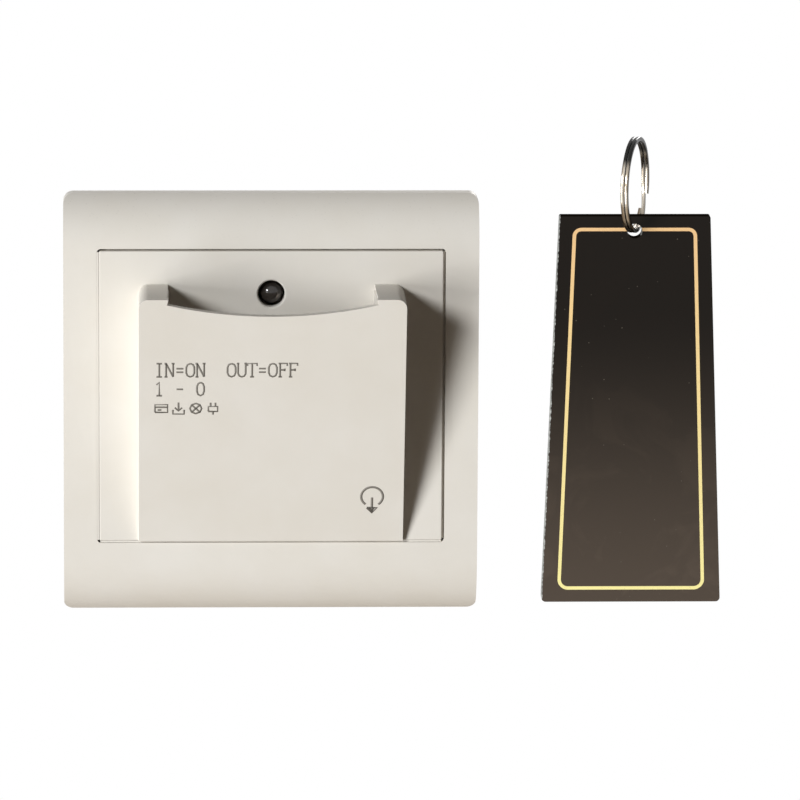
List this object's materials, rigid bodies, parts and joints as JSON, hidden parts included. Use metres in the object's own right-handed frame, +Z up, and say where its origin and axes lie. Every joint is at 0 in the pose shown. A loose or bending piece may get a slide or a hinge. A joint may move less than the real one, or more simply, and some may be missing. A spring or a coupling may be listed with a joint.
{
  "type": "hotel key card switch",
  "caption": "Flush wall switch for a hotel room with a wedge-shaped card pocket, indicator lamp, clipped frame and panel, relay circuit behind, and its long key tag on a split ring.",
  "frame": {"origin": "centre of the two wall screw holes, on the wall plane at the back of the base plate", "axes": "+X to the right seen from the front, +Y into the wall, +Z up"},
  "size_m": [0.1373, 0.0543, 0.0994],
  "materials": {
    "cover_white": "satin, fine moulded grain",
    "plate_white": "moulded",
    "housing_white": "moulded",
    "screw_steel": "zinc plated",
    "board_green": "solder mask",
    "lamp_lens": "smoked lens",
    "lead_tin": "tinned",
    "pin_steel": "ground",
    "lever_plastic": "slippery moulded",
    "switch_black": "moulded",
    "plunger_red": "moulded",
    "spring_copper": "spring copper",
    "relay_blue": "moulded",
    "bobbin_plastic": "moulded",
    "winding_copper": "enamelled wire",
    "soft_iron": "plated",
    "film_yellow": "moulded",
    "can_sleeve": "shrink sleeve",
    "resistor_body": "lacquered",
    "diode_body": "moulded",
    "varistor_blue": "dipped coat",
    "fuse_body": "tube with plated caps",
    "clamp_brass": "machined",
    "tag_black": "polished",
    "border_gold": "foil",
    "ring_chrome": "polished"
  },
  "bodies": {
    "base": {"base_plate": "plate_white", "rear_housing": "housing_white", "housing_screws": "screw_steel", "circuit_board": "board_green", "board_screws": "screw_steel", "led_lamp": "lamp_lens", "led_leads": "lead_tin", "lever_pin": "pin_steel", "switch_case": "switch_black", "switch_contacts": "lead_tin", "relay_case": "relay_blue", "relay_base": "switch_black", "relay_pins": "lead_tin", "relay_bobbin": "bobbin_plastic", "relay_winding": "winding_copper", "relay_core": "soft_iron", "relay_yoke": "soft_iron", "relay_contacts": "lead_tin", "film_capacitor": "film_yellow", "smoothing_capacitors": "can_sleeve", "resistors": "resistor_body", "diodes": "diode_body", "timer_chip": "switch_black", "varistor": "varistor_blue", "fuse": "fuse_body", "terminal_housing": "housing_white", "terminal_clamps": "clamp_brass", "terminal_screws": "screw_steel"},
    "frame_cover": {"outer_frame": "cover_white"},
    "panel_cover": {"front_panel": "cover_white"},
    "lever": {"card_lever": "lever_plastic"},
    "plunger": {"switch_plunger": "plunger_red"},
    "blade": {"switch_blade": "spring_copper"},
    "armature": {"relay_armature": "soft_iron"},
    "tag": {"key_tag": "tag_black", "tag_border": "border_gold"},
    "ring": {"split_ring": "ring_chrome"}
  },
  "joints": [
    {"name": "frame_pull", "type": "slide", "parent": "base", "child": "frame_cover", "axis": [0, -1, 0], "range_m": [0, 0.025]},
    {"name": "panel_pull", "type": "slide", "parent": "base", "child": "panel_cover", "axis": [0, -1, 0], "range_m": [0, 0.03]},
    {"name": "lever_press", "type": "hinge", "parent": "base", "child": "lever", "pos_m": [0, -0.0037, -0.003], "axis": [1, 0, 0], "range_deg": [0, 13], "stiffness_Nm_per_rad": 0.02, "springref_deg": -11.46},
    {"name": "plunger_travel", "type": "slide", "parent": "base", "child": "plunger", "axis": [0, 1, 0], "range_m": [0, 0.00104]},
    {"name": "blade_turn", "type": "hinge", "parent": "base", "child": "blade", "pos_m": [-0.0048, 0.00145, -0.0066], "axis": [0, 0, 1], "range_deg": [0, 14.5]},
    {"name": "armature_turn", "type": "hinge", "parent": "base", "child": "armature", "pos_m": [0.00215, 0.0228, 0.004], "axis": [0, 0, -1], "range_deg": [0, 3.5], "stiffness_Nm_per_rad": 0.01, "springref_deg": -5.73},
    {"name": "tag_lift", "type": "slide", "parent": "base", "child": "tag", "axis": [0, 0, 1], "range_m": [0, 0.06]},
    {"name": "ring_swing", "type": "hinge", "parent": "tag", "child": "ring", "pos_m": [0.0756, -0.0015, 0.0336], "axis": [0, 1, 0], "range_deg": [-75, 75]}
  ],
  "couplings": [
    {"joint": "plunger_travel", "follows": "lever_press", "m_per_rad": 0.00458},
    {"joint": "blade_turn", "follows": "lever_press", "ratio": 1.1154}
  ]
}
